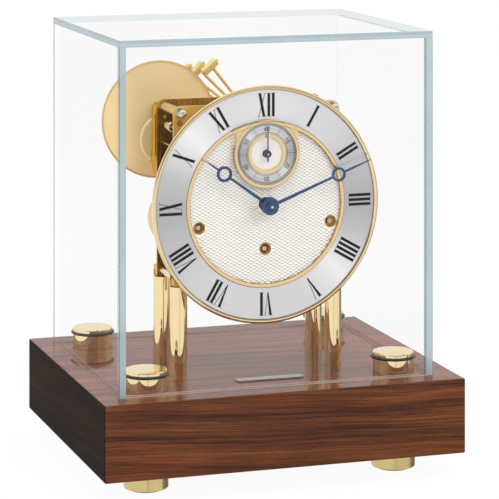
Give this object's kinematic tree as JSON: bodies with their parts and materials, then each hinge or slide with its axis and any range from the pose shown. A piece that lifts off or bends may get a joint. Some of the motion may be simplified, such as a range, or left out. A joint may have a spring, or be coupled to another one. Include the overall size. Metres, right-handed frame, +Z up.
{
  "type": "mantel clock",
  "caption": "Table clock on a lacquered walnut block under a lift-off glass cover: skeleton brass movement, silvered roman dial, small seconds, chime bells with hammers.",
  "frame": {"origin": "centre of the footprint on the plane the clock stands on", "axes": "+Z up, +X to the right of the dial as seen, the dial faces -Y"},
  "size_m": [0.245, 0.208, 0.2917],
  "materials": {
    "walnut": "gloss lacquer over dark walnut",
    "brass": "polished and lacquered",
    "satin_brass": "satin",
    "brushed_brass": "brushed grain",
    "felt": "felt",
    "black_rubber": "smooth",
    "steel": "polished",
    "glass": "clear, ground edges",
    "silvered": "silvered, circular brushed",
    "guilloche": "silvered white, engine turned",
    "blued_steel": "heat blued, polished",
    "dial_black": "printed, glossy",
    "hairspring_steel": "polished",
    "nickel": "satin nickel"
  },
  "bodies": {
    "clock": {"base_block": "walnut", "feet": "brass", "foot_pads": "felt", "corner_posts": "brass", "post_o_rings": "black_rubber", "base_bolts": "steel", "name_plate": "nickel", "columns": "brass", "front_plate": "brushed_brass", "back_plate": "brass", "plate_pillars": "steel", "pillar_nuts": "steel", "dial_plate": "satin_brass", "dial_bezel": "brass", "chapter_ring": "silvered", "dial_centre": "guilloche", "dial_inner_ring": "brass", "seconds_ring": "silvered", "winding_sleeves": "brass", "dial_markings": "dial_black", "escapement_platform": "nickel", "bells": "satin_brass", "bell_and_hammer_spindles": "steel", "bell_bracket": "brass", "hammer_frame": "brushed_brass"},
    "cover": {"glass_walls": "glass", "glass_lid": "glass"},
    "minute_group": {"centre_arbor": "brass", "minute_hand": "blued_steel"},
    "hour_group": {"hour_wheel": "brass", "hour_hand": "blued_steel"},
    "motion_group": {"minute_wheel": "brass"},
    "intermediate_group": {"intermediate_wheel": "brass"},
    "third_group": {"third_wheel": "brass"},
    "seconds_group": {"fourth_wheel": "brass", "seconds_hand": "blued_steel"},
    "escape_group": {"escape_wheel": "brass"},
    "lever_group": {"pallet_lever": "steel"},
    "balance_group": {"balance_wheel": "brass", "hairspring": "hairspring_steel"},
    "time_barrel_group": {"time_barrel": "brass"},
    "time_winder": {"time_winding_arbor": "steel"},
    "time_click_group": {"time_click": "steel"},
    "strike_barrel_group": {"strike_barrel": "brass"},
    "strike_winder": {"strike_winding_arbor": "steel"},
    "strike_click_group": {"strike_click": "steel"},
    "chime_barrel_group": {"chime_barrel": "brass"},
    "chime_winder": {"chime_winding_arbor": "steel"},
    "chime_click_group": {"chime_click": "steel"},
    "strike_second_group": {"strike_second_wheel": "brass"},
    "strike_third_group": {"strike_third_wheel": "brass"},
    "strike_fly_group": {"strike_fly": "brass"},
    "chime_second_group": {"chime_second_wheel": "brass", "chime_drum": "brass"},
    "chime_third_group": {"chime_third_wheel": "brass"},
    "chime_fly_group": {"chime_fly": "brass"},
    "hammer_1_group": {"hammer_1": "brass"},
    "hammer_2_group": {"hammer_2": "brass"},
    "hammer_3_group": {"hammer_3": "brass"},
    "hammer_4_group": {"hammer_4": "brass"}
  },
  "joints": [
    {"name": "cover_lift", "type": "slide", "parent": "clock", "child": "cover", "axis": [0, 0, 1], "range_m": [0, 0.25]},
    {"name": "minute_spin", "type": "hinge", "parent": "clock", "child": "minute_group", "pos_m": [0, 0, 0.1775], "axis": [0, 1, 0], "continuous": true},
    {"name": "hour_spin", "type": "hinge", "parent": "clock", "child": "hour_group", "pos_m": [0, 0, 0.1775], "axis": [0, 1, 0], "continuous": true},
    {"name": "motion_spin", "type": "hinge", "parent": "clock", "child": "motion_group", "pos_m": [0.01091, 0, 0.1712], "axis": [0, 1, 0], "continuous": true},
    {"name": "intermediate_spin", "type": "hinge", "parent": "clock", "child": "intermediate_group", "pos_m": [0.01453, 0, 0.16839], "axis": [0, 1, 0], "continuous": true},
    {"name": "third_spin", "type": "hinge", "parent": "clock", "child": "third_group", "pos_m": [-0.00272, 0, 0.19456], "axis": [0, 1, 0], "continuous": true},
    {"name": "seconds_spin", "type": "hinge", "parent": "clock", "child": "seconds_group", "pos_m": [0, 0, 0.211], "axis": [0, 1, 0], "continuous": true},
    {"name": "escape_spin", "type": "hinge", "parent": "clock", "child": "escape_group", "pos_m": [0.0154, 0, 0.211], "axis": [0, 1, 0], "continuous": true},
    {"name": "lever_swing", "type": "hinge", "parent": "clock", "child": "lever_group", "pos_m": [0.0235, 0, 0.211], "axis": [0, 1, 0], "range_deg": [-5, 5]},
    {"name": "balance_swing", "type": "hinge", "parent": "clock", "child": "balance_group", "pos_m": [0.033, 0, 0.211], "axis": [0, 1, 0], "range_deg": [-135, 135]},
    {"name": "time_barrel_spin", "type": "hinge", "parent": "clock", "child": "time_barrel_group", "pos_m": [0, 0, 0.1478], "axis": [0, 1, 0], "continuous": true},
    {"name": "time_winding", "type": "hinge", "parent": "clock", "child": "time_winder", "pos_m": [0, 0, 0.1478], "axis": [0, 1, 0], "continuous": true},
    {"name": "time_click_lift", "type": "hinge", "parent": "clock", "child": "time_click_group", "pos_m": [0, 0, 0.1623], "axis": [0, 1, 0], "range_deg": [0, 12]},
    {"name": "strike_barrel_spin", "type": "hinge", "parent": "clock", "child": "strike_barrel_group", "pos_m": [-0.04575, 0, 0.1637], "axis": [0, 1, 0], "continuous": true},
    {"name": "strike_winding", "type": "hinge", "parent": "clock", "child": "strike_winder", "pos_m": [-0.04575, 0, 0.1637], "axis": [0, 1, 0], "continuous": true},
    {"name": "strike_click_lift", "type": "hinge", "parent": "clock", "child": "strike_click_group", "pos_m": [-0.04575, 0, 0.1782], "axis": [0, 1, 0], "range_deg": [0, 12]},
    {"name": "chime_barrel_spin", "type": "hinge", "parent": "clock", "child": "chime_barrel_group", "pos_m": [0.04575, 0, 0.1637], "axis": [0, 1, 0], "continuous": true},
    {"name": "chime_winding", "type": "hinge", "parent": "clock", "child": "chime_winder", "pos_m": [0.04575, 0, 0.1637], "axis": [0, 1, 0], "continuous": true},
    {"name": "chime_click_lift", "type": "hinge", "parent": "clock", "child": "chime_click_group", "pos_m": [0.04575, 0, 0.1782], "axis": [0, 1, 0], "range_deg": [0, 12]},
    {"name": "strike_second_spin", "type": "hinge", "parent": "clock", "child": "strike_second_group", "pos_m": [-0.04399, 0, 0.18824], "axis": [0, 1, 0], "continuous": true},
    {"name": "strike_third_spin", "type": "hinge", "parent": "clock", "child": "strike_third_group", "pos_m": [-0.0441, 0, 0.20354], "axis": [0, 1, 0], "continuous": true},
    {"name": "strike_fly_spin", "type": "hinge", "parent": "clock", "child": "strike_fly_group", "pos_m": [-0.03654, 0, 0.21663], "axis": [0, 1, 0], "continuous": true},
    {"name": "chime_second_spin", "type": "hinge", "parent": "clock", "child": "chime_second_group", "pos_m": [0.04399, 0, 0.18824], "axis": [0, 1, 0], "continuous": true},
    {"name": "chime_third_spin", "type": "hinge", "parent": "clock", "child": "chime_third_group", "pos_m": [0.0441, 0, 0.20354], "axis": [0, 1, 0], "continuous": true},
    {"name": "chime_fly_spin", "type": "hinge", "parent": "clock", "child": "chime_fly_group", "pos_m": [0.03654, 0, 0.21663], "axis": [0, 1, 0], "continuous": true},
    {"name": "hammer_1_swing", "type": "hinge", "parent": "clock", "child": "hammer_1_group", "pos_m": [0.0182, 0, 0.2234], "axis": [0, 1, 0], "range_deg": [-2.5, 18]},
    {"name": "hammer_2_swing", "type": "hinge", "parent": "clock", "child": "hammer_2_group", "pos_m": [0.0182, 0, 0.2234], "axis": [0, 1, 0], "range_deg": [-2.5, 18]},
    {"name": "hammer_3_swing", "type": "hinge", "parent": "clock", "child": "hammer_3_group", "pos_m": [0.0182, 0, 0.2234], "axis": [0, 1, 0], "range_deg": [-2.5, 18]},
    {"name": "hammer_4_swing", "type": "hinge", "parent": "clock", "child": "hammer_4_group", "pos_m": [0.0182, 0, 0.2234], "axis": [0, 1, 0], "range_deg": [-2.5, 18]}
  ],
  "couplings": [
    {"joint": "hour_spin", "follows": "minute_spin", "ratio": 0.083333},
    {"joint": "motion_spin", "follows": "minute_spin", "ratio": -0.33333},
    {"joint": "intermediate_spin", "follows": "minute_spin", "ratio": -0.16667},
    {"joint": "third_spin", "follows": "minute_spin", "ratio": -8},
    {"joint": "seconds_spin", "follows": "minute_spin", "ratio": 60},
    {"joint": "escape_spin", "follows": "minute_spin", "ratio": -600},
    {"joint": "time_barrel_spin", "follows": "minute_spin", "ratio": 0.022523},
    {"joint": "strike_barrel_spin", "follows": "strike_second_spin", "ratio": -0.10811},
    {"joint": "strike_third_spin", "follows": "strike_second_spin", "ratio": -7.5},
    {"joint": "strike_fly_spin", "follows": "strike_second_spin", "ratio": 60},
    {"joint": "chime_barrel_spin", "follows": "chime_second_spin", "ratio": -0.10811},
    {"joint": "chime_third_spin", "follows": "chime_second_spin", "ratio": -7.5},
    {"joint": "chime_fly_spin", "follows": "chime_second_spin", "ratio": 60}
  ]
}
